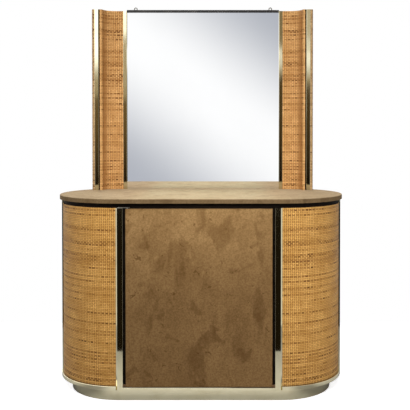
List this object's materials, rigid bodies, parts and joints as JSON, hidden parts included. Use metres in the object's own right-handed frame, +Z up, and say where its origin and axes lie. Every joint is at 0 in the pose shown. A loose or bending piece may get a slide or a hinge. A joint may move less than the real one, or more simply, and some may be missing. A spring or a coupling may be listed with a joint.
{
  "type": "chiffonier",
  "caption": "Mirror-backed chiffonier on a rounded plan: suede door and top, woven cane ends, brass trim, and a mirror between cove-faced cane wings.",
  "frame": {"origin": "bottom centre of the whole piece, on the floor", "axes": "+Z up, front faces -Y, +X to the right of someone looking at the front"},
  "size_m": [1.2998, 0.596, 1.782],
  "materials": {
    "carcass_wood": "clear-lacquered veneered board",
    "black_wood": "black-stained board",
    "cane": "woven rattan cane, satin",
    "suede": "brushed suede",
    "brass": "polished",
    "dark_trim": "glossy black",
    "mirror": "silvered float glass",
    "steel": "zinc-plated",
    "plastic": "moulded"
  },
  "bodies": {
    "cabinet": {"plinth_frame": "carcass_wood", "carcass_floor": "carcass_wood", "back_panel": "carcass_wood", "end_shell_left": "carcass_wood", "end_shell_right": "carcass_wood", "top_board": "carcass_wood", "shelf_low": "carcass_wood", "shelf_high": "carcass_wood", "mirror_board": "carcass_wood", "reveal_board": "black_wood", "carcass_lid": "black_wood", "jamb_left": "black_wood", "jamb_right": "black_wood", "door_stop_left": "black_wood", "door_stop_right": "black_wood", "wing_core_left": "black_wood", "wing_core_right": "black_wood", "rattan_front_left": "cane", "rattan_front_right": "cane", "rattan_back_left": "cane", "rattan_back_right": "cane", "wing_rattan_left": "cane", "wing_rattan_right": "cane", "wing_edge_left": "cane", "wing_edge_right": "cane", "top_suede": "suede", "strip_front_left": "brass", "strip_front_right": "brass", "strip_side_left": "brass", "strip_side_right": "brass", "band_end_left": "brass", "band_end_right": "brass", "band_front": "brass", "plinth_brass": "brass", "wing_strip_inner_left": "brass", "wing_strip_inner_right": "brass", "wing_strip_outer_left": "brass", "wing_strip_outer_right": "brass", "mirror_trim": "dark_trim", "mirror_glass": "mirror", "pivot_bottom": "steel", "pivot_top": "steel", "latch_spring": "steel", "hanger_plates": "steel", "mirror_bracket_left": "steel", "mirror_bracket_right": "steel", "hinge_screws": "steel", "hanger_screws": "steel", "bracket_screws": "steel", "back_screws": "steel", "shelf_pins": "steel", "latch_housing": "plastic", "thrust_washer": "plastic"},
    "door": {"door_core": "carcass_wood", "door_suede": "suede", "door_bush_bottom": "brass", "door_bush_top": "brass", "strike_plate": "steel"},
    "latch_plunger": {"latch_plunger": "plastic"}
  },
  "joints": [
    {"name": "door_hinge", "type": "hinge", "parent": "cabinet", "child": "door", "pos_m": [-0.308, -0.28, 0.45], "axis": [0, 0, -1], "range_deg": [0, 110]},
    {"name": "latch_press", "type": "slide", "parent": "cabinet", "child": "latch_plunger", "axis": [0, 1, 0], "range_m": [0, 0.004], "stiffness_N_per_m": 300, "deforming": ["latch_spring"]}
  ]
}
